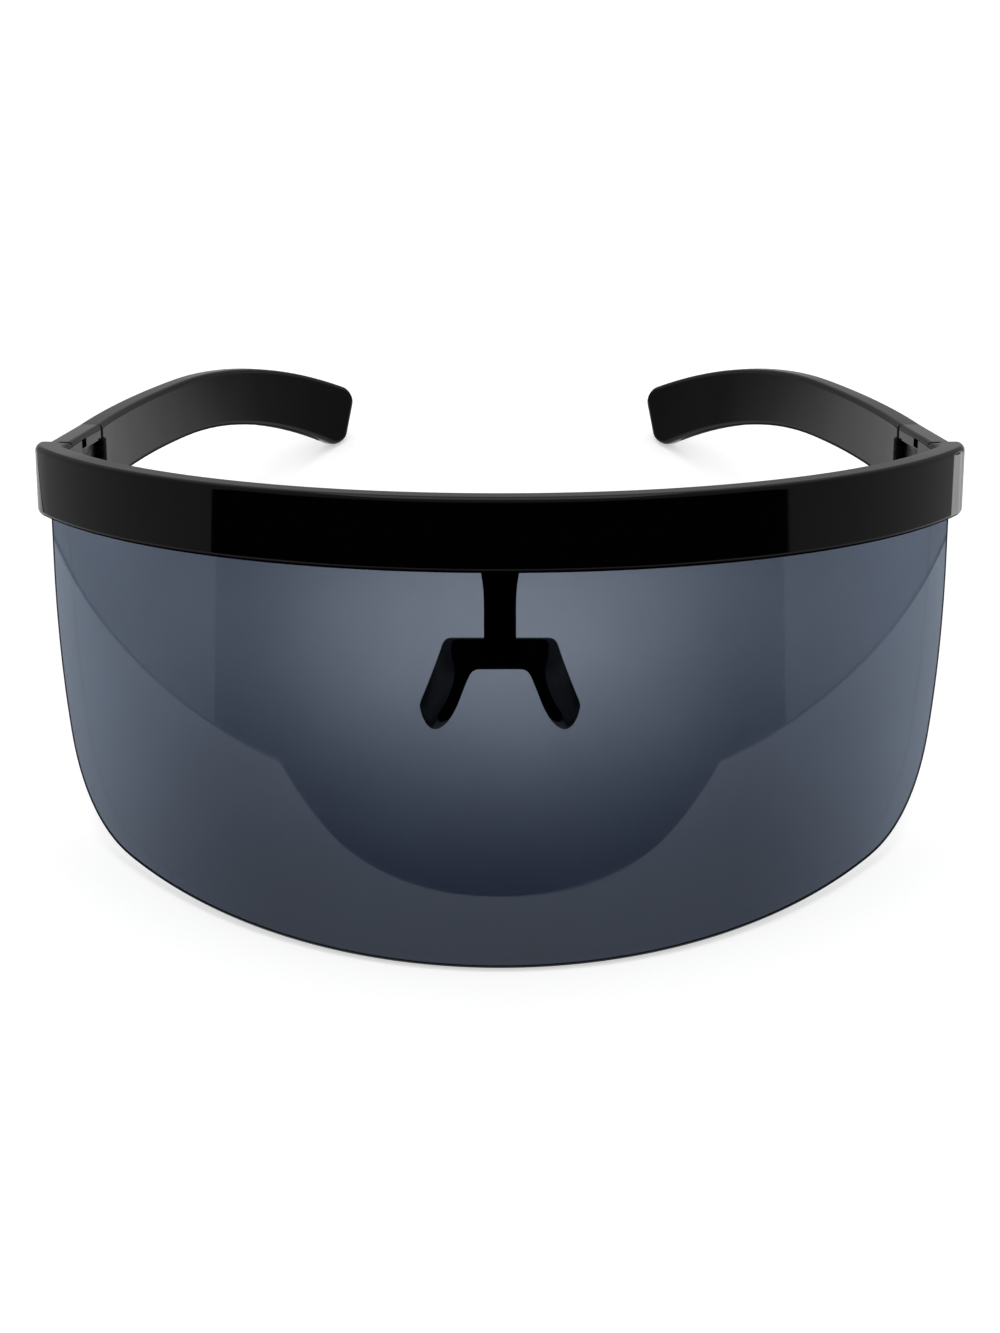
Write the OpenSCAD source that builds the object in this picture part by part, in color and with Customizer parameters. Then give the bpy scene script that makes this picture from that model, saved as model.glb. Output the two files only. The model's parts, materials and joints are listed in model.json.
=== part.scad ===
// Shield sunglasses: one curved lens under a straight brow bar, folding temples and a nose saddle.
// Every piece is drawn as worn: X across the face, Y from the front towards the ears, Z up.
// The zero of that frame is the top of the brow bar's front, in the middle.
// The whole is then leaned back until it rests on the lens and both temple tips.
// The left side, as the wearer says it, is the +X side.

/* [Brow bar] */
// Width of the bar over its rounded ends
bar_w = 156; // [152:1:162]
// Depth of the bar's front curve, from its middle back to where its end bends are centred
bar_bow = 50.3; // [46:0.1:54]
// Height of the bar
bar_h = 11.6; // [11:0.2:14]
// Thickness of the bar
bar_t = 4.1; // [4:0.1:5]
// Radius of the bend at each end of the bar, on the outside
corner_r = 12; // [10:0.5:15]
// Rounding of the bar's front edges
bar_edge_r = 0.9; // [0.4:0.1:1.1]
// Rounding of the bar's rear edges
bar_back_edge_r = 0.4; // [0.2:0.1:0.8]
// Rounding of the upright outer edge at each end
bar_end_r = 1.5; // [0.8:0.1:1.6]
// Length of the lug that thickens each end on the inside
lug_l = 4.4; // [4.2:0.1:4.5]
// Step from the bar's top and underside in to the lug
lug_inset = 0.1; // [0.1:0.02:0.2]

/* [Lens] */
// Height from the bar's top to the bottom of the lens
front_h = 75; // [72:0.5:79]
// Distance from each side of the lens to the end of the bar's front curve
lens_end_gap = 0.5; // [0.45:0.05:2]
// Thickness of the lens
lens_t = 1.8; // [1.4:0.1:2]
// Turn of each side before the corner begins, in degrees
lens_side_turn = 17.8; // [15:0.2:22]
// Radius of the lower corners, as a share of the front's height
lens_corner_share = 0.353; // [0.31:0.01:0.39]
// Radius of the sides above those corners, as a share of the front's height
lens_side_share = 1.293; // [1.1:0.01:1.5]
// How far the sides stay upright under the bar, as a share of the front's height
lens_upright_share = 0.092; // [0.05:0.01:0.12]
// Width of the polished bevel around the lens
lens_bevel = 0.35; // [0.1:0.05:0.5]
// Depth of the lens groove in the bar
groove_d = 6; // [4.5:0.5:6.5]
// Wall of the bar in front of the lens
groove_front = 1.2; // [1:0.1:1.3]

/* [Lens screws] */
// Places of the lens screws, as shares of the bar's half angle
lens_screw_shares = [-0.86, -0.42, 0.42, 0.86];
// Radius of a lens screw's head
lens_screw_head_r = 1.4; // [1.1:0.1:1.6]
// Height of a lens screw's head
lens_screw_head_h = 0.7; // [0.5:0.1:0.9]
// Radius of a lens screw's shank
lens_screw_r = 0.7; // [0.5:0.05:0.8]

/* [End pieces] */
// Inward lean of the end pieces and of the temples where they start, in degrees
side_lean = 5.5; // [4:0.5:7]
// Length of an end piece
end_l = 19; // [17:0.5:24]
// Thickness of an end piece
end_t = 4.3; // [4.1:0.1:4.8]
// Step from the bar's outer face in to the end piece's
end_inset = 1.7; // [1.4:0.1:2]
// Rounding of the long edges of end pieces and temples
side_edge_r = 0.9; // [0.4:0.1:1.1]
// Length of the hinge pocket
pocket_l = 13.2; // [12:0.1:13.6]
// Roof over the hinge pocket
roof_t = 2.4; // [2.2:0.1:2.8]
// Wall outside the hinge pocket
pocket_wall = 1.3; // [1.1:0.1:1.5]
// Width of the notch in the roof's inner face
notch_w = 2.8; // [0.8:0.1:3.5]
// Depth of that notch
notch_d = 1; // [0.5:0.1:1.5]
// Lip under that notch
notch_lip = 0.25; // [0.2:0.05:0.5]
// Depth of that notch's top under the top of the end piece
notch_top = 0.7; // [0.6:0.05:1]
// Length of the tongue that seats an end piece in the bar
tongue_l = 4; // [3.5:0.1:4.4]
// Thickness of the tongue
tongue_t = 1.6; // [1.4:0.1:1.7]
// Height of the tongue
tongue_h = 3.2; // [2.6:0.2:3.8]
// Radius of an end screw's head
end_screw_head_r = 1.1; // [0.9:0.1:1.3]
// Height of an end screw's head
end_screw_head_h = 0.6; // [0.5:0.1:0.8]
// Radius of an end screw's shank
end_screw_r = 0.45; // [0.35:0.05:0.55]

/* [Hinge] */
// Outer radius of the knuckles
knuckle_r = 1.2; // [1.1:0.05:1.3]
// Radius of the hinge screw
pin_r = 0.55; // [0.45:0.05:0.65]
// Radial clearance of the hinge screw in the knuckles
pin_clear = 0.05; // [0.02:0.01:0.1]
// Depth of the hinge axis under the inner face
pin_inset = 0.5; // [0.3:0.05:0.5]
// Gap between neighbouring knuckles
knuckle_gap = 0.1; // [0.05:0.05:0.2]
// Free space round the knuckles in both plastic pieces
knuckle_room = 0.3; // [0.2:0.05:0.4]
// Thickness of the hinge leaves
leaf_t = 0.9; // [0.7:0.05:1]
// Height of the leaves' tangs
leaf_h = 4; // [3:0.2:5]
// Length of a tang inside its plastic
tang_l = 4.6; // [4:0.1:5]
// Radius of the hinge screw's head
pin_head_r = 0.95; // [0.8:0.05:1.1]
// Height of the hinge screw's head
pin_head_h = 0.6; // [0.4:0.1:0.8]

/* [Temples] */
// Length of a temple along its curve, from the hinge to the tip
temple_l = 118; // [108:1:124]
// Whole turn of a temple towards the head, in degrees
temple_curl = 28.6; // [22:0.2:32]
// Rise of a temple's top as it leaves the hinge, in degrees
temple_rise = 1.5; // [0:0.1:2.5]
// Length of a temple before its tip starts to drop
drop_start_l = 48.5; // [40:0.5:60]
// Slope that the temple's tip drops by, in degrees
drop_turn = 20.2; // [14:0.2:24]
// Height of a temple at the hinge
temple_h = 11.8; // [11.4:0.1:12.4]
// Height of a temple half way along
temple_waist_h = 11.1; // [10:0.1:11.8]
// Height of a temple at its tip
temple_tip_h = 13.2; // [12:0.1:15]
// Thickness of a temple at its tip
temple_tip_t = 3.1; // [2.6:0.1:3.8]
// Rounding of the tip's upper corner
tip_top_r = 4.5; // [3:0.25:5.5]
// Rounding of the tip's lower corner
tip_low_r = 5.5; // [3:0.25:6]
// Gap between an end piece and its temple
fold_gap = 0.2; // [0.15:0.05:0.3]
// Rounding of the upright inner edges on both sides of that gap
fold_edge_r = 0.8; // [0.75:0.05:0.9]

/* [Nose piece] */
// Width of the stem
stem_w = 4.9; // [4.2:0.1:6]
// Thickness of the stem
stem_t = 1.7; // [1.4:0.1:2]
// Height below the bar's top at which the stem ends
stem_end = 27; // [25:0.5:30]
// How much the stem widens on each side towards the bar
stem_flare = 0.6; // [0.2:0.1:1.2]
// Height over which it widens
stem_flare_h = 5.5; // [5:0.5:10]
// Width of the stem's tab behind the bar
tab_w = 9; // [7:0.5:11]
// Height of that tab
tab_h = 9; // [8:0.5:9.5]
// Radius of the nose screw's head
nose_screw_head_r = 1.5; // [1.2:0.1:1.8]
// Height of the nose screw's head
nose_screw_head_h = 0.8; // [0.6:0.1:1]
// Radius of the nose screw's shank
nose_screw_r = 0.7; // [0.5:0.05:0.8]
// Height of the stem that the saddle holds
stem_wrap = 4.2; // [3.5:0.1:5]
// Depth of the saddle from front to back
saddle_depth = 8.5; // [7:0.5:10]
// Height of the saddle's bridge
saddle_bridge_h = 4.8; // [4.4:0.1:5.6]
// Height of the saddle with its pads
saddle_h = 14.2; // [13:0.1:16]
// Half width of the saddle's top at the front
saddle_top_w = 7.8; // [7:0.1:9]
// How much wider the pads stand at the back, on each side
pad_flare = 4; // [2.5:0.1:5]
// Rounding of the pads' lower ends, seen from the side
pad_round = 4; // [2:0.1:5]
// How much lower the saddle lies at the back
saddle_fall_h = 1.9; // [1:0.1:2.5]
// Bevel at the top of the channel that takes the stem
channel_bevel = 0.7; // [0.4:0.05:0.75]

/* [Hidden] */

// Clearance around pieces that are seated in others
seat_clear = 0.05;
// Clearance past the lens's sides in its groove
groove_end_clear = 0.3;
// Overrun of every cut past the surface that it opens
over = 1;
// Sides of the true circles
$fn = 48;

black = [0.02, 0.02, 0.022];
steel = [0.35, 0.35, 0.37];
dark_steel = [0.09, 0.09, 0.1];
tint = [0.33, 0.37, 0.43, 0.6];
soft_black = [0.03, 0.03, 0.034];

// Half of the bar's arc in whole steps of a degree, its radius, and the centre of its left bend
angle_steps = 1000;
bend_x = bar_w / 2 - corner_r;
bar_half = round(2 * atan((bar_bow - corner_r) / bend_x) * angle_steps) / angle_steps;
bar_r = corner_r + bend_x / sin(bar_half);
corner_c = [bend_x, bar_r - (bar_r - corner_r) * cos(bar_half)];
// Outer corner of the bar's end, where the side frame starts
side_o = [corner_c.x + corner_r * cos(side_lean), corner_c.y + corner_r * sin(side_lean)];

// Rounded rectangle as points: its low corner, its size and its four corner radii,
// counter-clockwise from the low corner
corner_steps = 5;
function arc_points(c, r, from, to, steps) =
    [for (i = [0 : steps]) let (a = from + (to - from) * i / steps) c + r * [cos(a), sin(a)]];
function round_rect(low, size, r) = concat(
    arc_points(low + [r[0], r[0]], r[0], 180, 270, corner_steps),
    arc_points(low + [size.x - r[1], r[1]], r[1], 270, 360, corner_steps),
    arc_points(low + [size.x - r[2], size.y - r[2]], r[2], 0, 90, corner_steps),
    arc_points(low + [r[3], size.y - r[3]], r[3], 90, 180, corner_steps)
);

// Skin over a stack of rings with equally many points each, closed at both ends
function ring_faces(rings, n) = concat(
    [[for (i = [0 : n - 1]) n - 1 - i]],
    [for (j = [0 : rings - 2]) for (i = [0 : n - 1])
        [j * n + i, j * n + (i + 1) % n, (j + 1) * n + (i + 1) % n, (j + 1) * n + i]],
    [[for (i = [0 : n - 1]) (rings - 1) * n + i]]
);
function flat(lists) = [for (list = lists) for (item = list) item];

// Lens outline, from three arcs that run into one another: side, corner and bottom bow
lens_r = bar_r - groove_front - seat_clear;
lens_mid_r = lens_r - lens_t / 2;
lens_half_arc = lens_mid_r * bar_half * PI / 180 - lens_end_gap;
lens_top_z = groove_d - bar_h - seat_clear;
lens_corner_r = lens_corner_share * front_h;
lens_side_r = lens_side_share * front_h;
side_c = [lens_half_arc - lens_side_r, -bar_h - lens_upright_share * front_h];
low_c = side_c + (lens_side_r - lens_corner_r) * [cos(lens_side_turn), -sin(lens_side_turn)];
low_rise = low_c.y + front_h;
bow_r = (low_c.x * low_c.x + low_rise * low_rise - lens_corner_r * lens_corner_r)
    / (2 * (low_rise - lens_corner_r));
bow_c = [0, bow_r - front_h];
corner_end = atan2(low_c.y - bow_c.y, low_c.x);
side_steps = 12;
low_steps = 18;
bow_steps = 30;
// Each point of the outline comes with the direction that faces outwards there
function edge_arc(c, r, from, to, steps) = [for (i = [0 : steps - 1])
    let (a = from + (to - from) * i / steps) [c + r * [cos(a), sin(a)], [cos(a), sin(a)]]];
half_outline = concat(
    edge_arc(side_c, lens_side_r, 0, -lens_side_turn, side_steps),
    edge_arc(low_c, lens_corner_r, -lens_side_turn, corner_end, low_steps),
    edge_arc(bow_c, bow_r, corner_end, -90, bow_steps)
);
half_count = len(half_outline);
lens_outline = concat(
    half_outline,
    [[[0, -front_h], [0, -1]]],
    [for (i = [half_count - 1 : -1 : 0]) let (p = half_outline[i]) [[-p[0].x, p[0].y], [-p[1].x, p[1].y]]]
);

// Place on the lens: s along the curve, z up, r from the curve's centre
function on_lens(s, z, r) = let (a = s / lens_mid_r * 180 / PI) [r * sin(a), bar_r - r * cos(a), z];
// Columns run from the outline up to the lens's top: front face, bevels, rear face
function lens_ring(p) = let (
        edge = p[0],
        face = p[0] - lens_bevel * p[1],
        inner = lens_r - lens_t
    ) [
        on_lens(face.x, lens_top_z, lens_r),
        on_lens(face.x, face.y, lens_r),
        on_lens(edge.x, edge.y, lens_r - lens_bevel),
        on_lens(edge.x, edge.y, inner + lens_bevel),
        on_lens(face.x, face.y, inner),
        on_lens(face.x, lens_top_z, inner)
    ];
lens_points = flat([for (p = lens_outline) lens_ring(p)]);

// Temple, in the side frame: x outwards, y to the rear, z up from the bar's top.
// Its plan is an arc, its top rises a little and then drops along another arc,
// and its sections stand square to that drop
side_in_x = -end_inset - end_t;
side_mid_x = -end_inset - end_t / 2;
temple_start = end_l + fold_gap;
plan_r = temple_l / (temple_curl * PI / 180);
drop_r = (temple_l - drop_start_l) / (drop_turn * PI / 180);
function plan_turn(s) = s / plan_r * 180 / PI;
function plan_x(s) = side_mid_x - plan_r * (1 - cos(plan_turn(s)));
function plan_y(s) = temple_start + plan_r * sin(plan_turn(s));
function drop_angle(s) = s < drop_start_l ? 0 : (s - drop_start_l) / drop_r * 180 / PI;
function top_z(s) = s * tan(temple_rise) - drop_r * (1 / cos(drop_angle(s)) - 1);
function temple_height(s) = let (u = s / temple_l)
    temple_h * (1 - u) * (1 - 2 * u) + 4 * temple_waist_h * u * (1 - u) + temple_tip_h * u * (2 * u - 1);
function temple_thick(s) = end_t + (temple_tip_t - end_t) * s / temple_l;
// How far a tip corner of radius r has come in at s
function corner_in(s, r) = let (d = s - (temple_l - r)) d <= 0 ? 0 : r - sqrt(max(r * r - d * d, 0));
// How much thinner the temple is at s, so that the tip has no sharp rim
function thick_in(s) = let (d = s - (temple_l - temple_tip_t / 2))
    d <= 0 ? 0 : temple_tip_t * (1 - sqrt(max(1 - pow(d / (temple_tip_t / 2), 2), 0)));
body_steps = 32;
tip_steps = 12;
rounded_l = max(tip_top_r, tip_low_r);
tip_last_share = 0.995;
tip_rim_share = 0.2;
edge_limit_share = 0.45;
temple_stations = concat(
    [for (i = [0 : body_steps]) (temple_l - rounded_l) * i / body_steps],
    [for (i = [1 : tip_steps]) temple_l - rounded_l + rounded_l * sin(90 * i / tip_steps * tip_last_share)]
);
function temple_ring(s) = let (
        thick = max(temple_thick(s) - thick_in(s), temple_tip_t * tip_rim_share),
        high = -corner_in(s, tip_top_r),
        low = -temple_height(s) + corner_in(s, tip_low_r),
        r = min(side_edge_r, thick * edge_limit_share),
        profile = round_rect([-thick / 2, low], [thick, high - low], [r, r, r, r])
    ) [for (p = profile) let (q = s + p.y * sin(drop_angle(s)), turn = plan_turn(q))
        [plan_x(q) + p.x * cos(turn), plan_y(q) + p.x * sin(turn), top_z(s) + p.y * cos(drop_angle(s))]];
temple_points = flat([for (s = temple_stations) temple_ring(s)]);
temple_ring_n = 4 * (corner_steps + 1);

// From the side frame to the worn frame
function from_side(p) = [
    side_o.x + p.x * cos(side_lean) - p.y * sin(side_lean),
    side_o.y + p.x * sin(side_lean) + p.y * cos(side_lean),
    p.z
];
temple_worn = [for (p = temple_points) from_side(p)];

// Lean at which the lens and the temple tips stand on one level surface
function lowest(points, a) = min([for (p = points) p.z * cos(a) - p.y * sin(a)]);
function lean_between(low, high, tries) = tries == 0 ? (low + high) / 2 :
    let (mid = (low + high) / 2, lens_is_lower = lowest(lens_points, mid) < lowest(temple_worn, mid))
    lens_is_lower ? lean_between(mid, high, tries - 1) : lean_between(low, mid, tries - 1);
lean_most = 45;
lean_tries = 30;
lean = lean_between(0, lean_most, lean_tries);
floor_z = min(lowest(lens_points, lean), lowest(temple_worn, lean));
front_y = min([for (p = lens_points) p.y * cos(lean) + p.z * sin(lean)]);
rear_y = max([for (p = temple_worn) p.y * cos(lean) + p.z * sin(lean)]);

// Hinge, in the side frame
pin_x = side_in_x + pin_inset;
pin_y = end_l + fold_gap / 2;
pocket_y = end_l - pocket_l;
pocket_h = temple_h - 2 * roof_t;
knuckle_h = (pocket_h - 4 * knuckle_gap) / 3;
leaf_z = -temple_h / 2;
leaf_x = pin_x + knuckle_r - leaf_t;
relief_r = knuckle_r + knuckle_room;

module stand() {
    translate([0, -(front_y + rear_y) / 2, -floor_z])
        rotate([-lean, 0, 0])
        children();
}

module side_frame() {
    translate([side_o.x, side_o.y, 0])
        rotate([0, 0, side_lean])
        children();
}

module left_side() {
    stand() side_frame() children();
}

module right_side() {
    stand() mirror([1, 0, 0]) side_frame() children();
}

// Arc of the front, with its profile in (radius, z), to one angle on each side of the middle
module front_arc(half) {
    translate([0, bar_r, 0])
        rotate([0, 0, -90 - half])
        rotate_extrude(angle = 2 * half, $fn = 180)
        children();
}

// Place on the back of the front's curve, with the drilling direction along +Z, towards the front
module on_front(angle, r, z) {
    translate([0, bar_r, z])
        rotate([0, 0, angle])
        translate([0, -r, 0])
        rotate([90, 0, 0])
        children();
}

bar_back_r = bar_r - bar_t;
lens_screw_z = groove_d / 2 - bar_h;
lens_screw_l = bar_t - groove_front / 2;
nose_screw_z = -(bar_h - groove_d) / 2;
nose_screw_l = bar_t - groove_front;
// Front face of the stem: its flat tab touches the bar's hollow back at both edges
stem_y = bar_r - sqrt(bar_back_r * bar_back_r - tab_w * tab_w / 4) + seat_clear;

module bar_profile(r_out) {
    polygon(round_rect(
        [r_out - bar_t, -bar_h],
        [bar_t, bar_h],
        [bar_back_edge_r, bar_edge_r, bar_edge_r, bar_back_edge_r]
    ));
}

module bar_bend() {
    translate([corner_c.x, corner_c.y, 0])
        rotate([0, 0, bar_half - 90])
        rotate_extrude(angle = 90 - bar_half + side_lean, $fn = 96)
        bar_profile(corner_r);
}

// Lug behind the bend, as thick as the end piece that it meets
module end_lug() {
    rotate([90, 0, 0])
        linear_extrude(height = lug_l)
        polygon(round_rect(
            [side_in_x, lug_inset - bar_h],
            [-side_in_x - bar_t / 2, bar_h - 2 * lug_inset],
            [bar_back_edge_r, bar_back_edge_r, bar_back_edge_r, side_edge_r]
        ));
}

// Core inside the bar, where the arc runs over into the bend
module seam_core() {
    translate([corner_c.x, corner_c.y, 0])
        rotate([0, 0, bar_half - 90])
        translate([corner_r - bar_t + bar_edge_r, -bar_edge_r, groove_d - bar_h + bar_edge_r])
        cube([bar_t - 2 * bar_edge_r, 2 * bar_edge_r, bar_h - groove_d - 2 * bar_edge_r]);
}

module bar_end() {
    bar_bend();
    seam_core();
    side_frame() end_lug();
}

// Cut that rounds an upright edge at c; in quarter 0 the material lies on the +x and +y sides
module upright_cut(c, quarter, r, h) {
    translate([c.x, c.y, -h - over])
        rotate([0, 0, 90 * quarter])
        difference() {
            translate([-over, -over, 0]) cube([r + over, r + over, h + 2 * over]);
            translate([r, r, -over]) cylinder(r = r, h = h + 4 * over);
        }
}

// The tongue lies in the solid part of the bar's end, above the lens groove
tongue_z = -(bar_h - groove_d) / 2;
module tongue(clear) {
    translate([side_mid_x - tongue_t / 2 - clear, -tongue_l - clear, tongue_z - tongue_h / 2 - clear])
        cube([tongue_t + 2 * clear, tongue_l + over, tongue_h + 2 * clear]);
}

// End screw, with its head's seat at the origin and its shank along +X
end_screw_x = side_in_x + end_screw_head_h / 2;
end_screw_y = -tongue_l / 2;
end_screw_l = side_mid_x + tongue_t / 2 - end_screw_x;
module end_hole(r, from, to) {
    translate([from, end_screw_y, tongue_z])
        rotate([0, 90, 0])
        cylinder(r = r, h = to - from);
}

module end_cuts() {
    tongue(seat_clear);
    end_hole(end_screw_r + seat_clear, end_screw_x - over, end_screw_x + end_screw_l);
    end_hole(end_screw_head_r + seat_clear, side_in_x - over, end_screw_x + seat_clear);
    upright_cut([0, 0], 2, bar_end_r, bar_h);
}

module brow_bar() {
    color(black) stand() difference() {
        union() {
            front_arc(bar_half) bar_profile(bar_r);
            bar_end();
            mirror([1, 0, 0]) bar_end();
        }
        front_arc((lens_half_arc + groove_end_clear) / lens_mid_r * 180 / PI)
            translate([lens_r - lens_t - seat_clear, -bar_h - over])
            square([lens_t + 2 * seat_clear, groove_d + over]);
        for (share = lens_screw_shares)
            on_front(share * bar_half, bar_back_r, lens_screw_z)
            translate([0, 0, -over])
            cylinder(r = lens_screw_r + seat_clear, h = lens_screw_l + over);
        on_front(0, bar_back_r, nose_screw_z)
            translate([0, 0, -over])
            cylinder(r = nose_screw_r + seat_clear, h = nose_screw_l + over);
        side_frame() end_cuts();
        mirror([1, 0, 0]) side_frame() end_cuts();
    }
}

module shield_lens() {
    color(tint) stand() difference() {
        polyhedron(points = lens_points, faces = ring_faces(len(lens_outline), 6), convexity = 4);
        for (share = lens_screw_shares)
            on_front(share * bar_half, bar_back_r, lens_screw_z)
            cylinder(r = lens_screw_r + seat_clear, h = bar_t);
    }
}

// Pan-head screw: head below the origin, shank along +Z
module screw(head_r, head_h, r, l) {
    translate([0, 0, -head_h]) cylinder(r = head_r, h = head_h);
    cylinder(r = r, h = l);
}

module lens_screw(i) {
    color(steel) stand()
        on_front(lens_screw_shares[i] * bar_half, bar_back_r - seat_clear, lens_screw_z)
        screw(lens_screw_head_r, lens_screw_head_h, lens_screw_r, lens_screw_l);
}

// Stem outline on one side, from its foot up to the bar: it widens along a parabola
flare_steps = 8;
flare_low_z = -bar_h - stem_flare_h;
stem_side = concat(
    [[stem_w / 2, -stem_end]],
    [for (i = [0 : flare_steps]) let (u = i / flare_steps)
        [stem_w / 2 + stem_flare * u * u, flare_low_z + stem_flare_h * u]]
);
tab_side = [
    [tab_w / 2, -bar_h / 2 - tab_h / 2],
    [tab_w / 2, tab_h / 2 - bar_h / 2]
];
stem_half = concat(stem_side, [[stem_w / 2 + stem_flare, tab_side[0].y]], tab_side);

module nose_stem() {
    color(black) stand()
        translate([0, stem_y + stem_t, 0])
        rotate([90, 0, 0])
        difference() {
            linear_extrude(height = stem_t) polygon(concat(
                stem_half,
                [for (i = [len(stem_half) - 1 : -1 : 0]) [-stem_half[i].x, stem_half[i].y]]
            ));
            translate([0, nose_screw_z, -over])
                cylinder(r = nose_screw_r + seat_clear, h = stem_t + 2 * over);
        }
}

module nose_screw() {
    color(steel) stand()
        translate([0, stem_y + seat_clear + stem_t, nose_screw_z])
        rotate([90, 0, 0])
        screw(nose_screw_head_r, nose_screw_head_h, nose_screw_r, stem_t + nose_screw_l - seat_clear);
}

// Saddle outline on one side, from the top round the pad to the arch under the bridge.
// It is a smooth line that the corners named here draw towards them. Each corner is given
// by shares of the top's half width, of the pad's height, of the bridge's height and of the flare
saddle_shares = [
    [0.7, 0, 0, 0.25],
    [0.96, 0, 0, 0.3],
    [0.96, 0, 0.5, 0.5],
    [0.85, 0.42, 0, 0.95],
    [1.04, 0.77, 0, 0.98],
    [1.27, 0.95, 0, 0.75],
    [1.18, 1.05, 0, 0.66],
    [0.92, 0.96, 0, 0.75],
    [0.68, 0.57, 0, 0.95],
    [0.54, 0, 1, 0.9],
    [0.28, 0, 1, 0.5]
];
// Depth at which the pads reach lowest, and how much of the round is used, as shares of the depth
pad_low_share = 0.45;
pad_round_share = 0.6;
corner_cuts = 4;
saddle_steps = 8;
saddle_top = stem_wrap - stem_end;
// Parabola from the middle of a-b to the middle of b-c, drawn towards b
function drawn_to(a, b, c, t) = (1 - t) * (1 - t) * (a + b) / 2 + 2 * t * (1 - t) * b + t * t * (b + c) / 2;
function smooth_line(p) = let (last = len(p) - 1) concat(
    [for (i = [1 : last - 1]) for (k = [0 : corner_cuts - 1])
        drawn_to(p[i - 1], p[i], p[i + 1], k / corner_cuts)],
    [(p[last - 1] + p[last]) / 2]
);
function pad_reach(t) = saddle_h
    - pad_round * (1 - sqrt(1 - pow((t - pad_low_share) / pad_round_share, 2)));
function saddle_y(t) = stem_y + stem_t / 2 + saddle_depth * t;
function saddle_ring(t) = let (
        places = [for (s = saddle_shares) [
            s[0] * saddle_top_w + s[3] * pad_flare * t,
            saddle_top - saddle_fall_h * t - s[1] * pad_reach(t) - s[2] * saddle_bridge_h
        ]],
        half = smooth_line(places)
    ) concat(
        [for (p = half) [p.x, saddle_y(t), p.y]],
        [for (i = [len(half) - 1 : -1 : 0]) [-half[i].x, saddle_y(t), half[i].y]]
    );

// Channel that takes the stem: its outline from top left round its floor to top right.
// At the front it opens by the bevel, which runs out at the channel's back and at its floor
channel_x = stem_w / 2 + seat_clear;
channel_z = -stem_end - seat_clear;
channel_t = (stem_t / 2 + seat_clear) / saddle_depth;
function channel_ring(t, bevel) = let (y = saddle_y(t), top = saddle_top - saddle_fall_h * t) [
    [-channel_x - bevel, y, top],
    [-channel_x, y, channel_z],
    [channel_x, y, channel_z],
    [channel_x + bevel, y, top]
];

// Faces between two rows of n points, but not from each row's last point to its first
function band(a, b, n) = [for (i = [0 : n - 2]) [a + i, a + i + 1, b + i + 1, b + i]];

module nose_saddle() {
    behind = [for (i = [1 : saddle_steps]) saddle_ring(channel_t + (1 - channel_t) * i / saddle_steps)];
    n = len(behind[0]);
    m = n + 4;
    back = 2 * m + (saddle_steps - 1) * n;
    color(soft_black) stand() polyhedron(
        points = concat(
            saddle_ring(0), channel_ring(0, channel_bevel),
            saddle_ring(channel_t), channel_ring(channel_t, 0),
            flat(behind)
        ),
        faces = concat(
            [[for (i = [0 : m - 1]) m - 1 - i]],
            band(0, m, n + 1),
            [[n, n + 1, m + n], [n + 1, m + n + 1, m + n]],
            [[n + 1, n + 2, m + n + 2, m + n + 1]],
            [[n + 2, n + 3, m + n + 3], [n + 2, m + n + 3, m + n + 2]],
            [[n + 3, 0, m, m + n + 3]],
            [[m + n, m + n + 1, m + n + 2, m + n + 3]],
            band(m, 2 * m, n),
            [[m + n - 1, m + n, 2 * m + n - 1], [m + n, 2 * m, 2 * m + n - 1]],
            [[m + n, m + n + 3, 2 * m], [m + n + 3, m, 2 * m]],
            [for (j = [0 : saddle_steps - 2]) each concat(
                band(2 * m + j * n, 2 * m + (j + 1) * n, n),
                [[2 * m + (j + 1) * n - 1, 2 * m + j * n, 2 * m + (j + 1) * n, 2 * m + (j + 2) * n - 1]]
            )],
            [[for (i = [0 : n - 1]) back + i]]
        ),
        convexity = 6
    );
}

// Straight bar with rounded long edges, in the side frame
module side_bar(y, l) {
    translate([0, y + l, 0])
        rotate([90, 0, 0])
        linear_extrude(height = l)
        polygon(round_rect(
            [side_in_x, -temple_h],
            [end_t, temple_h],
            [side_edge_r, side_edge_r, side_edge_r, side_edge_r]
        ));
}

module tang_slot(y, l) {
    translate([leaf_x - seat_clear, y, leaf_z - leaf_h / 2 - seat_clear])
        cube([leaf_t + 2 * seat_clear, l, leaf_h + 2 * seat_clear]);
}

module end_piece() {
    color(black) {
        difference() {
            side_bar(seat_clear, end_l - seat_clear);
            translate([side_in_x - over, pocket_y, roof_t - temple_h])
                cube([end_t - pocket_wall + over, pocket_l + over, pocket_h]);
            translate([side_in_x - over, pocket_y, notch_lip - roof_t])
                cube([notch_d + over, notch_w, roof_t - notch_top - notch_lip]);
            translate([pin_x, pin_y, -temple_h - over])
                cylinder(r = relief_r, h = roof_t + 2 * over);
            tang_slot(pocket_y - tang_l - seat_clear, tang_l + over);
            upright_cut([side_in_x, end_l], 3, fold_edge_r, temple_h);
        }
        difference() {
            tongue(0);
            end_hole(end_screw_r + seat_clear, end_screw_x - over, end_screw_x + end_screw_l);
        }
    }
}

module end_screw() {
    color(steel)
        translate([end_screw_x, end_screw_y, tongue_z])
        rotate([0, 90, 0])
        screw(end_screw_head_r, end_screw_head_h, end_screw_r, end_screw_l - seat_clear);
}

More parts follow.
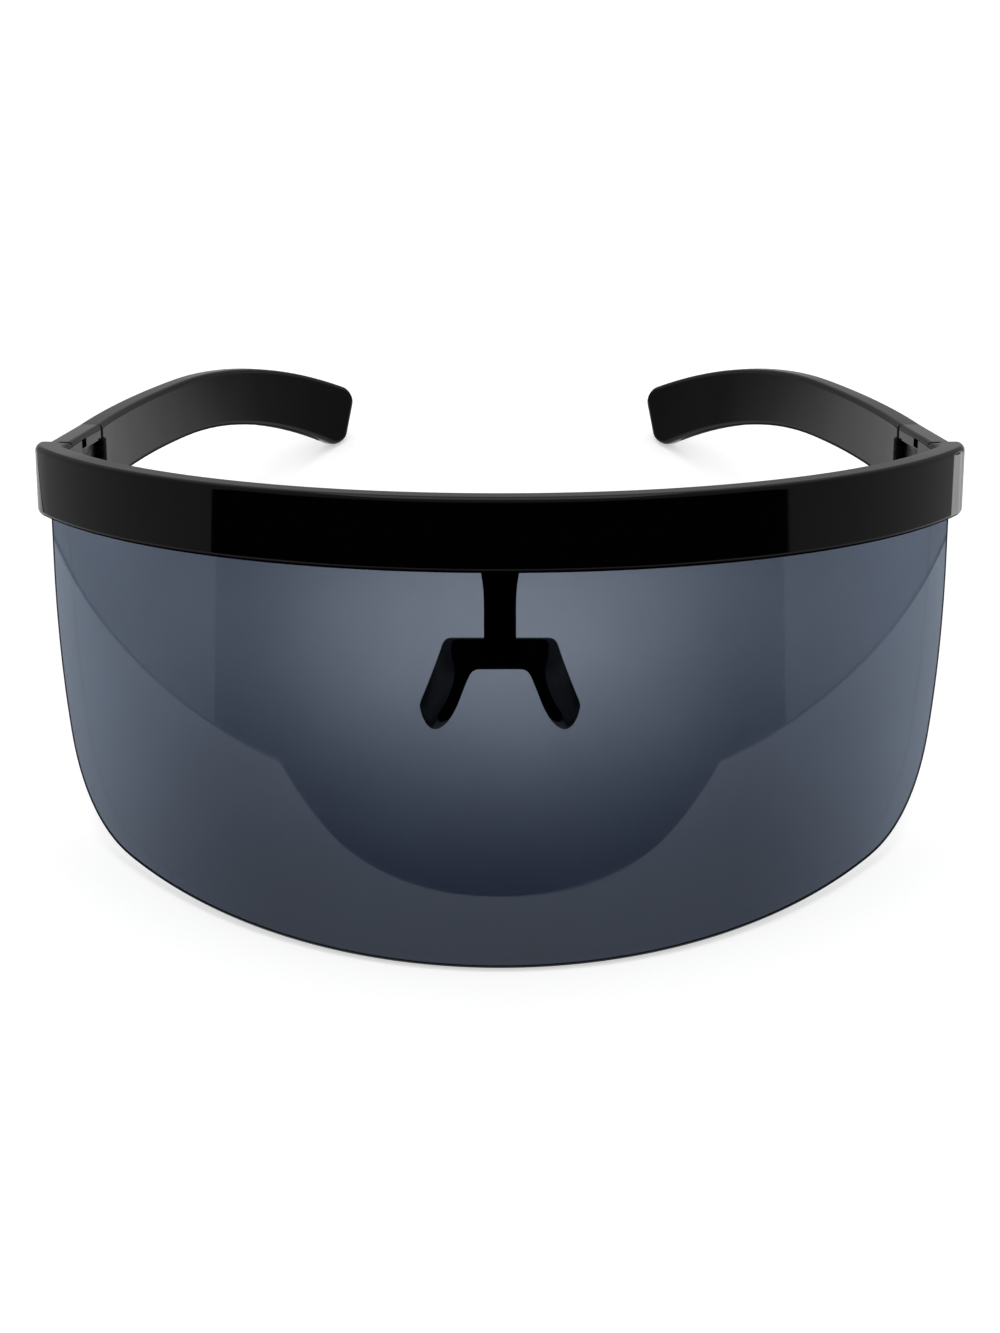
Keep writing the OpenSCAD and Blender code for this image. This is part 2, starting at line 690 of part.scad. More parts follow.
// Knuckle number i from the top, with the web that joins it to its leaf on the side dir
module knuckle(i, dir) {
    top = -roof_t - knuckle_gap - i * (knuckle_h + knuckle_gap);
    translate([pin_x, pin_y, top - knuckle_h]) difference() {
        union() {
            cylinder(r = knuckle_r, h = knuckle_h);
            translate([knuckle_r - leaf_t, dir > 0 ? 0 : -2 * knuckle_r, 0])
                cube([leaf_t, 2 * knuckle_r, knuckle_h]);
        }
        translate([0, 0, -over]) cylinder(r = pin_r + pin_clear, h = knuckle_h + 2 * over);
    }
}

module front_leaf() {
    color(dark_steel) union() {
        knuckle(0, -1);
        knuckle(2, -1);
        translate([leaf_x, pocket_y, roof_t + knuckle_gap - temple_h])
            cube([leaf_t, pin_y - relief_r - pocket_y, pocket_h - 2 * knuckle_gap]);
        translate([leaf_x, pocket_y - tang_l, leaf_z - leaf_h / 2])
            cube([leaf_t, tang_l + over, leaf_h]);
    }
}

module temple_leaf() {
    color(dark_steel) union() {
        knuckle(1, 1);
        translate([leaf_x, pin_y + relief_r, leaf_z - leaf_h / 2])
            cube([leaf_t, tang_l, leaf_h]);
    }
}

module hinge_screw() {
    color(dark_steel)
        translate([pin_x, pin_y, roof_t - temple_h])
        screw(pin_head_r, pin_head_h, pin_r, pocket_h - knuckle_gap);
}

module temple() {
    color(black) difference() {
        polyhedron(points = temple_points, faces = ring_faces(len(temple_stations), temple_ring_n),
            convexity = 4);
        translate([pin_x, pin_y, -temple_h - over])
            cylinder(r = relief_r, h = temple_h - roof_t + over);
        tang_slot(pin_y, relief_r + tang_l + seat_clear);
        upright_cut([side_in_x, temple_start], 0, fold_edge_r, temple_h);
    }
}

brow_bar();
shield_lens();
lens_screw(0);  // lens_screw_1
lens_screw(1);  // lens_screw_2
lens_screw(2);  // lens_screw_3
lens_screw(3);  // lens_screw_4
nose_stem();
nose_screw();
nose_saddle();
left_side() end_piece();  // left_end_piece
left_side() end_screw();  // left_end_screw
left_side() front_leaf();  // left_front_leaf
left_side() hinge_screw();  // left_hinge_screw
left_side() temple();  // left_temple
left_side() temple_leaf();  // left_temple_leaf
right_side() end_piece();  // right_end_piece
right_side() end_screw();  // right_end_screw
right_side() front_leaf();  // right_front_leaf
right_side() hinge_screw();  // right_hinge_screw
right_side() temple();  // right_temple
right_side() temple_leaf();  // right_temple_leaf
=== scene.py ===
# %% [markdown]
# # Shield sunglasses
# One curved, tinted lens hangs under a straight black brow bar. Two temples fold behind it,
# and a small rubber saddle rests on the nose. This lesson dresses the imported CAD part: it
# loads it, stages it, makes the finishes, and then builds each piece in turn, from the bar to
# the smallest screw.

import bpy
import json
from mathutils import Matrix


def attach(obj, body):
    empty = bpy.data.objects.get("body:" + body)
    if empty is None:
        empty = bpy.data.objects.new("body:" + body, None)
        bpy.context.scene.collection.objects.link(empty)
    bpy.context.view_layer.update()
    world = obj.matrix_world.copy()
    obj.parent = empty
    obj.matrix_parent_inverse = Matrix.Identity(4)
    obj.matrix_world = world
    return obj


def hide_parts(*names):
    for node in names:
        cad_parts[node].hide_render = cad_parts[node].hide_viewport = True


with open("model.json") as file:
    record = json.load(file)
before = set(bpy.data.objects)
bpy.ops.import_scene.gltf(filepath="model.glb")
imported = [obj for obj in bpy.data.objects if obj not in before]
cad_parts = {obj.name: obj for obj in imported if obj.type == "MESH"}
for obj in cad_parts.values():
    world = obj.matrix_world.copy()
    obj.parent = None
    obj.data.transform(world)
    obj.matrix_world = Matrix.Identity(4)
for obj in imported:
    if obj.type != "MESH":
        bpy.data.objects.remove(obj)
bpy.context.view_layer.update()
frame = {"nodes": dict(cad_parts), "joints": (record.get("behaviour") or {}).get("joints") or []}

# %% [markdown]
# The part leans back until it stands on the lens and both temple tips. Its pieces are easier to
# describe as they are worn, with the bar level, so we keep two frames: worn, whose zero is the
# top of the bar's front, and the part's own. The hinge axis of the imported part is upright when
# worn, so it gives the lean; and the place of that hinge in both frames gives the shift.

# %% From the worn frame to the part's own
import json
import math

import bmesh
import bpy
import numpy as np
from mathutils import Matrix, Vector

MM = 0.001
PIN_WORN = Vector((70.6394, 69.9348, -5.9)) * MM
BAR_W, BAR_H, BAR_T = 156 * MM, 11.6 * MM, 4.1 * MM
hinge = next(j for j in frame["joints"] if j["name"] == "left_temple_fold")
lean = math.atan2(abs(hinge["axis"][1]), abs(hinge["axis"][2]))
turn_back = Matrix.Rotation(-lean, 4, "X")
shift = Vector(hinge["pos_m"]) - turn_back @ PIN_WORN
stand = Matrix.Translation(shift) @ turn_back
print("lean", round(math.degrees(lean), 2), "degrees; bar's top at", [round(v, 4) for v in shift])

# %% [markdown]
# The photograph looks down at the front from a little above, with a long lens. Its angle and
# distance were found by fitting the outlines of the bar, the lens and the temples. The film
# back is 36 mm on the longer side of the picture, and there is no depth of field.

# %% Camera
CAMERA_PLACE, CAMERA_DOWN = (0, -0.386653, 0.240448), 32.226
FOCAL_LENGTH, FILM_SIDE, NEAREST = 64.8, 36, 0.01
camera = bpy.data.objects.new("camera", bpy.data.cameras.new("camera"))
bpy.context.scene.collection.objects.link(camera)
camera.location = CAMERA_PLACE
camera.rotation_euler = (math.radians(90 - CAMERA_DOWN), 0, 0)
camera.data.lens = FOCAL_LENGTH
camera.data.sensor_width = FILM_SIDE
camera.data.clip_start = NEAREST
bpy.context.scene.camera = camera
bpy.context.scene.view_settings.view_transform = "Standard"
print("camera", [round(v, 3) for v in camera.location])

# %% [markdown]
# A black, glossy object shows little but what it mirrors, so the room matters more than the
# lamps. The real one stood on a white table that ended below the camera, with the dark of the
# studio beyond it and a tall soft box on each side. These helpers build shader trees, so that
# each finish below stays short.

# %% Helpers for shader trees
def new_material(name):
    material = bpy.data.materials.new(name)
    material.use_nodes = True
    material.node_tree.nodes.clear()
    return material


def add(tree, kind, settings=None, **inputs):
    """A node with its settings, and its inputs given as values or as sockets to link.

    Inputs called i0, i1 and so on are found by their place, and the others by their name.
    """
    node = tree.nodes.new(kind)
    for key, value in (settings or {}).items():
        setattr(node, key, value)
    for key, value in inputs.items():
        by_place = key[0] == "i" and key[1:].isdigit()
        socket = node.inputs[int(key[1:]) if by_place else key.replace("_", " ")]
        if isinstance(value, bpy.types.NodeSocket):
            tree.links.new(value, socket)
        else:
            socket.default_value = value
    return node


def math_node(tree, operation, *values):
    return add(tree, "ShaderNodeMath", {"operation": operation},
               **{f"i{i}": v for i, v in enumerate(values)}).outputs[0]


def plus(tree, a, b):
    return math_node(tree, "ADD", a, b)


def minus(tree, a, b):
    return math_node(tree, "SUBTRACT", a, b)


def times(tree, a, b):
    return math_node(tree, "MULTIPLY", a, b)


def vector_node(tree, operation, *values, **inputs):
    return add(tree, "ShaderNodeVectorMath", {"operation": operation},
               **{f"i{i}": v for i, v in enumerate(values)}, **inputs).outputs[0]


def map_range(tree, value, taken, given):
    """Smoothly carries the range taken over to the range given."""
    node = add(tree, "ShaderNodeMapRange", {"interpolation_type": "SMOOTHSTEP"}, Value=value)
    for key, number in zip(("From Min", "From Max", "To Min", "To Max"), (*taken, *given)):
        node.inputs[key].default_value = number
    return node.outputs[0]


def link_to_world(obj):
    bpy.context.scene.collection.objects.link(obj)
    return obj


print("helpers for shader trees are ready")

# %% [markdown]
# The table is matt and white. Seen by the camera it has to be as white as the photograph's
# background while it still takes a shadow, so part of its light is its own: Light Path adds it
# for the camera's rays and for those through glass, and the lamps give the rest.

# %% Table
TABLE_FRONT, TABLE_BACK, TABLE_HALF = -0.345, 0.62, 0.9
TABLE_OWN_LIGHT, TABLE_GREY, TABLE_DROP = 0.47, 0.8, 0.1 * MM


def plain_mesh(name, points, faces):
    mesh = bpy.data.meshes.new(name)
    mesh.from_pydata([tuple(p) for p in points], [], faces)
    mesh.update()
    return link_to_world(bpy.data.objects.new(name, mesh))


def flat_sheet(name, corners, height=0.0):
    """One level face through corners given as (x, y)."""
    return plain_mesh(name, [(x, y, height) for x, y in corners], [tuple(range(len(corners)))])


def rectangle(half, near, far):
    """Corners of a rectangle that reaches as far as half to either side."""
    return [(-half, near), (half, near), (half, far), (-half, far)]


table = flat_sheet("table", rectangle(TABLE_HALF, TABLE_FRONT, TABLE_BACK))
table.location.z = -TABLE_DROP
table_white = new_material("table_white")
tree = table_white.node_tree
path = add(tree, "ShaderNodeLightPath").outputs
seen = math_node(tree, "MAXIMUM", path["Is Camera Ray"], path["Is Transmission Ray"])
own = add(tree, "ShaderNodeEmission", Color=(1, 1, 1, 1), Strength=times(tree, seen, TABLE_OWN_LIGHT))
matt = add(tree, "ShaderNodeBsdfDiffuse", Color=(TABLE_GREY, TABLE_GREY, TABLE_GREY, 1))
both = add(tree, "ShaderNodeAddShader", i0=own.outputs[0], i1=matt.outputs[0])
add(tree, "ShaderNodeOutputMaterial", Surface=both.outputs[0])
table.data.materials.append(table_white)
table.visible_glossy = False
print("table from", TABLE_FRONT, "to", TABLE_BACK, "m")

# %% [markdown]
# What the lens and the bar mirror is built apart, from pieces that only mirrored rays can see.
# They glow on their own, so no lamp changes them. The first is a white sheet under the glasses:
# its bowed front edge draws the long arc low across the lens, and its sides the two slanting
# lines.

# %% Mirrored sheet
def glow_only(name, strength, flat_look=None):
    """A plain glow; flat_look is its strength for a ray that comes in at a flatter angle."""
    material = new_material(name)
    tree = material.node_tree
    if flat_look is not None:
        facing = add(tree, "ShaderNodeLayerWeight", Blend=0.5).outputs["Facing"]
        strength = map_range(tree, facing, (0.6, 0.7), (strength, flat_look))
    light = add(tree, "ShaderNodeEmission", Color=(1, 1, 1, 1), Strength=strength)
    add(tree, "ShaderNodeOutputMaterial", Surface=light.outputs[0])
    return material


def mirrored_only(obj, material):
    obj.data.materials.append(material)
    obj.visible_camera = obj.visible_diffuse = obj.visible_transmission = obj.visible_shadow = False


def both_sides(points):
    """A closed outline from the points of its +X side, given from front to back."""
    return points + [(-x, y) for x, y in reversed(points)]


SHEET_CORNER, SHEET_BOW, SHEET_BOW_HALF = (0.253, -0.266), 0.09, 0.16
SHEET_STEP, SHEET_REAR = (0.16, 0.042), (0.16, 0.3)
SHEET_GLOW, LAYER = 0.9, 0.1 * MM


def sheet_front(x):
    return SHEET_CORNER[1] - SHEET_BOW * max(0, 1 - (x / SHEET_BOW_HALF) ** 2) ** 2


front_edge = [(x, sheet_front(x)) for x in np.linspace(-SHEET_CORNER[0], SHEET_CORNER[0], 61)]
sheet = flat_sheet("sheet", front_edge + both_sides([SHEET_STEP, SHEET_REAR]), LAYER)
mirrored_only(sheet, glow_only("sheet_glow", SHEET_GLOW))
print("sheet of", len(sheet.data.vertices), "corners")

# %% [markdown]
# On the sheet lies a dark patch for the shade between the temples. The brighter one over its
# rear is what the temples' inner faces mirror: it glows less for flat rays, so each temple fades
# from grey at its hinge to black at its tip. Farther back the white goes on duller and wider.
# Along the sheet's sides runs a dim strip of painted shade where the sheet ends, and a white panel
# stands well away on each side; its upright front edge draws the border on the bar and the lens.

# %% Mirrored patches and panels
EDGE_WIDE, EDGE_SHADE_GLOW = 0.004, 0.1
PANEL_AWAY, PANEL_DEEP, PANEL_HIGH, PANEL_GLOW = 0.6, (-0.32, 0.7), (-0.6, 0.65), 0.4
SHADE_SIDE = [(0.075, -0.055), (0.13, 0.1), (0.13, 0.135)]
patches = (("shadow_patch", both_sides(SHADE_SIDE), 2 * LAYER, 0.08, None),
           ("bright_patch", rectangle(0.04, 0.07, 0.2), 3 * LAYER, 0.6, 0.16),
           ("rear_sheet", rectangle(0.3, 0.135, 0.4), 2 * LAYER, 0.42, None))
for name, corners, height, glow, flat_look in patches:
    mirrored_only(flat_sheet(name, corners, height), glow_only(name + "_glow", glow, flat_look))
(near, far), (low, high) = PANEL_DEEP, PANEL_HIGH
upright = ((near, low), (far, low), (far, high), (near, high))
for side, sign in (("left", 1), ("right", -1)):
    line = [(sign * x, y) for x, y in (SHEET_CORNER, SHEET_STEP, SHEET_REAR)]
    # Painted shade: a dim strip along each side of the sheet.
    spots = [(x + out * sign * EDGE_WIDE, y, LAYER) for out in (0, 1) for x, y in line]
    edge = plain_mesh(side + "_sheet_edge", spots, [(0, 1, 4, 3), (1, 2, 5, 4)])
    mirrored_only(edge, glow_only(side + "_edge_shade_glow", EDGE_SHADE_GLOW))
    panel = plain_mesh(side + "_panel", [(sign * PANEL_AWAY, y, z) for y, z in upright], [(0, 1, 2, 3)])
    mirrored_only(panel, glow_only(side + "_panel_glow", PANEL_GLOW))
print("patches:", [patch[0] for patch in patches], "and a panel on each side")

# %% [markdown]
# The room itself is the world. For the camera it is plain white. For mirrored rays it is what
# stood round the real object: dark in front and low, paler overhead and behind. For soft light
# it is an even grey.

# %% Room
HIGH_GLOW, BEHIND_GLOW, SOFT_GLOW = 0.4, 0.3, 0.55
world = bpy.data.worlds.new("room")
world.use_nodes = True
bpy.context.scene.world = world
tree = world.node_tree
tree.nodes.clear()
path = add(tree, "ShaderNodeLightPath").outputs
where = add(tree, "ShaderNodeTexCoord").outputs["Generated"]
way = add(tree, "ShaderNodeSeparateXYZ", Vector=where).outputs
high = map_range(tree, way["Z"], (0.16, 0.6), (0.0, HIGH_GLOW))
behind = map_range(tree, way["Y"], (0.1, 0.9), (0.0, BEHIND_GLOW))
mirrored = times(tree, plus(tree, high, behind), path["Is Glossy Ray"])
soft = times(tree, minus(tree, 1.0, path["Is Glossy Ray"]), SOFT_GLOW)
seen = math_node(tree, "MAXIMUM", path["Is Camera Ray"], path["Is Transmission Ray"])
level = math_node(tree, "MAXIMUM", plus(tree, mirrored, soft), seen)
glow = add(tree, "ShaderNodeBackground", Color=(1, 1, 1, 1), Strength=level)
add(tree, "ShaderNodeOutputWorld", Surface=glow.outputs[0])
print("room built of", len(tree.nodes), "nodes")

# %% [markdown]
# The light itself comes from tall soft boxes left and right and a large one overhead. A lamp's
# power follows from how bright its face should look: power = brightness x pi x area. The side
# boxes stay out of the mirrors, since the panels already stand there.

# %% Lamps
def soft_box(name, place, aim, width, height, brightness):
    lamp = bpy.data.lights.new(name, "AREA")
    lamp.shape, lamp.size, lamp.size_y = "RECTANGLE", width, height
    lamp.energy = brightness * math.pi * width * height
    obj = link_to_world(bpy.data.objects.new(name, lamp))
    obj.location = place
    obj.rotation_euler = (Vector(aim) - Vector(place)).to_track_quat("-Z", "Y").to_euler()
    obj.visible_camera = False
    print(name, round(lamp.energy, 3), "W")
    return obj


BOX_AWAY, BOX_BACK, BOX_HIGH = 0.6, 0.13, 0.33
for side, sign in (("left", 1), ("right", -1)):
    box = soft_box(side + "_soft_box", (BOX_AWAY * sign, BOX_BACK, BOX_HIGH), (0, BOX_BACK, BOX_HIGH),
                   width=0.76, height=0.62, brightness=0.32)
    box.visible_glossy = False
soft_box("top_soft_box", (0, 0.15, 0.9), (0, 0, 0), width=0.7, height=0.7, brightness=1.62)

# %% [markdown]
# Injection-moulded plastic is never a perfect mirror. A faint waviness and slightly uneven
# gloss separate it from black glass, and handling leaves soft smudges. All patterns read
# Object coordinates, in metres, so they stay on the piece at their real scale. The lower rim of
# the bar lies in the shade of the lens, and that shade is painted: the bar's gloss fades out there.

# %% Plastics, rubber and metals
NOISE_RANGE = (0.3, 0.7)
TONE_ENDS, GRAIN_DEEP = (0.85, 1.15), 0.05 * MM
GLOSS_LEVEL, LOWER_RIM = 0.2, 0.8 * MM


def surface(name, colour, rough, uneven, grain, wave, bump, metallic=0.0, level=0.5, stretch=(1, 1, 1)):
    """Principled finish: roughness that drifts, and a fine bump of the given grain (per metre)."""
    material = new_material(name)
    tree = material.node_tree
    place = add(tree, "ShaderNodeTexCoord").outputs["Object"]
    place = add(tree, "ShaderNodeMapping", Vector=place, Scale=stretch).outputs[0]
    drift = add(tree, "ShaderNodeTexNoise", Vector=place, Scale=wave, Detail=3.0).outputs[0]
    fine = add(tree, "ShaderNodeTexNoise", Vector=place, Scale=grain, Detail=2.0).outputs[0]
    tone = add(tree, "ShaderNodeMix", {"data_type": "RGBA"}, Factor=drift)
    for end, share in zip([i for i in tone.inputs if i.type == "RGBA"], TONE_ENDS):
        end.default_value = (*[c * share for c in colour], 1)
    relief = add(tree, "ShaderNodeBump", Height=fine, Strength=bump, Distance=GRAIN_DEEP)
    body = add(tree, "ShaderNodeBsdfPrincipled", Normal=relief.outputs[0], Metallic=metallic,
               Specular_IOR_Level=level,
               Roughness=map_range(tree, drift, NOISE_RANGE, (rough - uneven, rough + uneven)))
    tree.links.new(next(o for o in tone.outputs if o.type == "RGBA"), body.inputs["Base Color"])
    add(tree, "ShaderNodeOutputMaterial", Surface=body.outputs[0])
    return material


gloss_black = surface("gloss_black", (0.0006, 0.0006, 0.0007), rough=0.05, uneven=0.015,
                      grain=420, wave=45, bump=0.03, level=GLOSS_LEVEL)
temple_black = surface("temple_black", (0.0007, 0.0007, 0.0008), rough=0.13, uneven=0.04,
                       grain=700, wave=60, bump=0.06, level=GLOSS_LEVEL)
stem_black = surface("stem_black", (0.003, 0.0031, 0.0036), rough=0.22, uneven=0.05,
                     grain=800, wave=120, bump=0.08)
saddle_rubber = surface("saddle_rubber", (0.006, 0.0065, 0.0078), rough=0.36, uneven=0.08,
                        grain=1800, wave=160, bump=0.3)
hinge_metal = surface("hinge_metal", (0.02, 0.02, 0.022), rough=0.3, uneven=0.08,
                      grain=900, wave=300, bump=0.25, metallic=1.0, stretch=(1, 1, 6))
screw_steel = surface("screw_steel", (0.42, 0.42, 0.44), rough=0.3, uneven=0.07,
                      grain=1500, wave=500, bump=0.2, metallic=1.0)

tree = gloss_black.node_tree
worn_up = turn_back.to_3x3() @ Vector((0, 0, 1))
rim_height = shift.dot(worn_up) - BAR_H
place = add(tree, "ShaderNodeTexCoord").outputs["Object"]
# Painted shade: the gloss fades out along the bar's lower rim.
height = add(tree, "ShaderNodeVectorMath", {"operation": "DOT_PRODUCT"}, i0=place, i1=worn_up)
painted_rim_shade = map_range(tree, height.outputs["Value"], (rim_height + LOWER_RIM / 2, rim_height + LOWER_RIM),
                  (0.0, GLOSS_LEVEL))
body = next(n for n in tree.nodes if n.type == "BSDF_PRINCIPLED")
tree.links.new(painted_rim_shade, body.inputs["Specular IOR Level"])
print("finishes:", [m.name for m in bpy.data.materials])

# %% [markdown]
# Only the base tint is the lens's own grey-blue dye. Over it the script paints light and shade
# seen through the lens: a lighter glow round the nose, darker below, where the table behind lies
# in the lens's shadow, and lighter again where its sides turn away. Light crosses both of its
# faces, so each face holds back the root of the whole. The mirror of the room grows where the
# surface turns away, by Schlick's rule: four parts in a hundred straight on, all of it at a
# grazing look.

# %% Lens tint
TINT_BASE, PAINTED_NOSE_GLOW = (0.125, 0.148, 0.196), (0.278, 0.284, 0.287)
PAINTED_SIDE_LIGHT, MIRROR_TINT = (0.138, 0.147, 0.154), (0.8, 0.89, 1, 1)
MIDDLE_HIGH, MIDDLE_WIDE, MIDDLE_TALL = 0.0517, 0.0437, 0.0261
SIDE_FROM, SIDE_TO = 0.0343, 0.0718
DYE_WAVE, DYE_DRIFT = 60.0, 0.015
STRAIGHT_MIRROR, SCHLICK_POWER = 0.04, 5.0


def lens_finish(name):
    material = new_material(name)
    tree = material.node_tree
    place = add(tree, "ShaderNodeTexCoord").outputs["Object"]
    at = add(tree, "ShaderNodeSeparateXYZ", Vector=place).outputs
    across = math_node(tree, "DIVIDE", at["X"], MIDDLE_WIDE)
    up = math_node(tree, "DIVIDE", minus(tree, at["Z"], MIDDLE_HIGH), MIDDLE_TALL)
    far = plus(tree, times(tree, across, across), times(tree, up, up))
    middle = math_node(tree, "EXPONENT", times(tree, far, -1.0))
    side = map_range(tree, math_node(tree, "ABSOLUTE", at["X"]), (SIDE_FROM, SIDE_TO), (0.0, 1.0))
    wave = add(tree, "ShaderNodeTexNoise", Vector=place, Scale=DYE_WAVE, Detail=2.0).outputs[0]
    # Painted light and shade: the two shares added to the base tint give a glow round the nose, dark
    # below, and lighter sides.
    colour = TINT_BASE
    for share, tint in ((middle, PAINTED_NOSE_GLOW), (side, PAINTED_SIDE_LIGHT)):
        colour = vector_node(tree, "ADD", colour, vector_node(tree, "SCALE", tint, Scale=share))
    dye = map_range(tree, wave, NOISE_RANGE, (1 - DYE_DRIFT, 1 + DYE_DRIFT))
    film = add(tree, "ShaderNodeBsdfTransparent", Color=vector_node(tree, "SCALE", colour, Scale=dye))
    shine = add(tree, "ShaderNodeBsdfGlossy", Color=MIRROR_TINT,
                Roughness=map_range(tree, wave, NOISE_RANGE, (0.01, 0.03)))
    away = add(tree, "ShaderNodeLayerWeight", Blend=0.5).outputs["Facing"]
    grazing = times(tree, math_node(tree, "POWER", away, SCHLICK_POWER), 1.0 - STRAIGHT_MIRROR)
    mix = add(tree, "ShaderNodeMixShader", i0=plus(tree, grazing, STRAIGHT_MIRROR),
              i1=film.outputs[0], i2=shine.outputs[0])
    add(tree, "ShaderNodeOutputMaterial", Surface=mix.outputs[0])
    return material


lens_tint = lens_finish("lens_tint")
lens_edge = surface("lens_edge", (0.001, 0.0013, 0.002), rough=0.15, uneven=0.03,
                    grain=500, wave=90, bump=0.05, level=0.03)
print("lens finishes:", lens_tint.name, lens_edge.name)

# %% [markdown]
# The CAD meshes come as loose triangles. For a glossy skin we copy such a mesh, merge its
# corners, clear flat triangles into larger faces, and shade it smooth where two faces meet at
# a small angle. Sharp edges can take a fine bevel, since no moulded edge is a knife edge.
# Weighted Normal then keeps the flats flat, so that the highlight stays on the rounded edges.

# %% Skins over CAD nodes
WELD, FLAT_ANGLE, SMOOTH_ANGLE, EDGE_ANGLE = 0.002 * MM, 0.05, 30, 50


def finish_piece(obj, material, slot, body, *nodes):
    if material:
        obj.data.materials.clear()
        obj.data.materials.append(material)
    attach(obj, body)
    if nodes:
        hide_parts(*nodes)
    return obj


def shade(mesh, smooth_below):
    """Smooth faces, with sharp edges wherever two faces meet at a larger angle than this."""
    work = bmesh.new()
    work.from_mesh(mesh)
    for face in work.faces:
        face.smooth = True
    for edge in work.edges:
        edge.smooth = edge.calc_face_angle(0) < math.radians(smooth_below)
    work.to_mesh(mesh)
    work.free()


def skin(node, name, material, slot, body, smooth_below=SMOOTH_ANGLE, edge=0.0):
    source = frame["nodes"][node].data
    corners = [v.co[:] for v in source.vertices]
    mesh = bpy.data.meshes.new(name)
    mesh.from_pydata(corners, [], [p.vertices[:] for p in source.polygons])
    work = bmesh.new()
    work.from_mesh(mesh)
    bmesh.ops.remove_doubles(work, verts=work.verts, dist=WELD)
    bmesh.ops.dissolve_degenerate(work, edges=work.edges, dist=WELD)
    bmesh.ops.dissolve_limit(work, angle_limit=math.radians(FLAT_ANGLE), verts=work.verts,
                             edges=work.edges)
    work.to_mesh(mesh)
    work.free()
    shade(mesh, smooth_below)
    obj = link_to_world(bpy.data.objects.new(name, mesh))
    if edge:
        bevel = obj.modifiers.new("soft_edges", "BEVEL")
        bevel.width, bevel.segments, bevel.limit_method = edge, 2, "ANGLE"
        bevel.angle_limit, bevel.harden_normals = math.radians(EDGE_ANGLE), True
    weighted = obj.modifiers.new("flats", "WEIGHTED_NORMAL")
    weighted.keep_sharp = True
    print(name, len(mesh.polygons), "faces")
    return finish_piece(obj, material, slot, body, node)


# %% [markdown]
# The brow bar is one moulded arc whose ends bend back to meet the end pieces. The end pieces
# hold the hinges, and each temple is a flat blade that curves in and down to its tip.

# %% Bar, end pieces and temples
skin("brow_bar", "bar_skin", gloss_black, "frame_black", "front")
for side in ("left", "right"):
    skin(side + "_end_piece", side + "_end_skin", gloss_black, "frame_black", "front", edge=0.15 * MM)
    skin(side + "_temple", side + "_temple_skin", temple_black, "frame_black", side + "_arm")

# %% [markdown]
# The stem drops from the bar behind the lens, and the rubber saddle grips its foot. The saddle's
# sides turn in fine steps, so it is shaded smooth up to a larger angle.

# %% Nose piece
skin("nose_stem", "stem_skin", stem_black, "frame_black", "front", edge=0.25 * MM)
skin("nose_saddle", "saddle_skin", saddle_rubber, "saddle_rubber", "front", smooth_below=42,
     edge=0.2 * MM)

# %% [markdown]
# Some shapes follow a rule, and Geometry Nodes can state that rule once. These helpers
# build a tree with named sizes, and run it: the modifier's inputs are set by identifier, the
# result becomes a plain mesh, and the carrier object is removed.

# %% Helpers for Geometry Nodes
MERGE = 0.0005 * MM


def geometry_tree(name, sizes):
    tree = bpy.data.node_groups.new(name, "GeometryNodeTree")
    for way in ("INPUT", "OUTPUT"):
        tree.interface.new_socket("Geometry", in_out=way, socket_type="NodeSocketGeometry")
    for label, kind in sizes:
        tree.interface.new_socket(label, in_out="INPUT", socket_type="NodeSocket" + kind)
    return tree, tree.nodes.new("NodeGroupInput").outputs


def end_tree(tree, geometry, material):
    """Real meshes with their material, since the export drops instances."""
    real = add(tree, "GeometryNodeRealizeInstances", Geometry=geometry)
    done = add(tree, "GeometryNodeSetMaterial", Geometry=real.outputs[0], Material=material)
    add(tree, "NodeGroupOutput", Geometry=done.outputs[0])


def evaluated_mesh(obj):
    bpy.context.view_layer.update()
    return bpy.data.meshes.new_from_object(obj.evaluated_get(bpy.context.evaluated_depsgraph_get()))


def run_tree(tree, name, carrier, values):
    obj = link_to_world(bpy.data.objects.new(name, carrier))
    modifier = obj.modifiers.new("rule", "NODES")
    modifier.node_group = tree
    for item in tree.interface.items_tree:
        if item.in_out == "INPUT" and item.name in values:
            modifier[item.identifier] = values[item.name]
    mesh = evaluated_mesh(obj)
    bpy.data.objects.remove(obj)
    mesh.name = name
    return mesh


def outward(mesh):
    """Merges corners that touch, and turns every face outwards."""
    work = bmesh.new()
    work.from_mesh(mesh)
    bmesh.ops.remove_doubles(work, verts=work.verts, dist=MERGE)
    bmesh.ops.recalc_face_normals(work, faces=work.faces)
    work.to_mesh(mesh)
    work.free()


print("corners closer than", MERGE / MM, "mm are merged")

# %% [markdown]
# The lens is a sheet cut to an outline of three arcs a side and then bent round one upright
# axis. The outline is drawn flat: distance along the curve, and height. The arcs run into one
# another, so their centres follow from their radii. The grid's lower corners lie half-way round
# the corner arcs, and their distance along the outline is measured here.

# %% Lens outline
GROOVE_DEEP, GROOVE_WALL, SEAT = 6 * MM, 1.2 * MM, 0.05 * MM
LENS_THICK, LENS_CHAMFER, FRONT_HIGH = 1.8 * MM, 0.42 * MM, 75 * MM
DARK_BAND, BOTTOM_BAND = 0.75 * MM, 0.25
BEND_R, BAR_BOW, END_GAP = 12 * MM, 50.3 * MM, 0.5 * MM
SIDE_TURN = math.radians(17.8)
CORNER_R, SIDE_R, UPRIGHT = 0.353 * FRONT_HIGH, 1.293 * FRONT_HIGH, 0.092 * FRONT_HIGH
SIDE_STEPS, CORNER_STEPS, BOW_STEPS = 40, 60, 80
bend_x = BAR_W / 2 - BEND_R
half_angle = 2 * math.atan((BAR_BOW - BEND_R) / bend_x)
bar_r = BEND_R + bend_x / math.sin(half_angle)
lens_r = bar_r - GROOVE_WALL - SEAT
middle_r = lens_r - LENS_THICK / 2
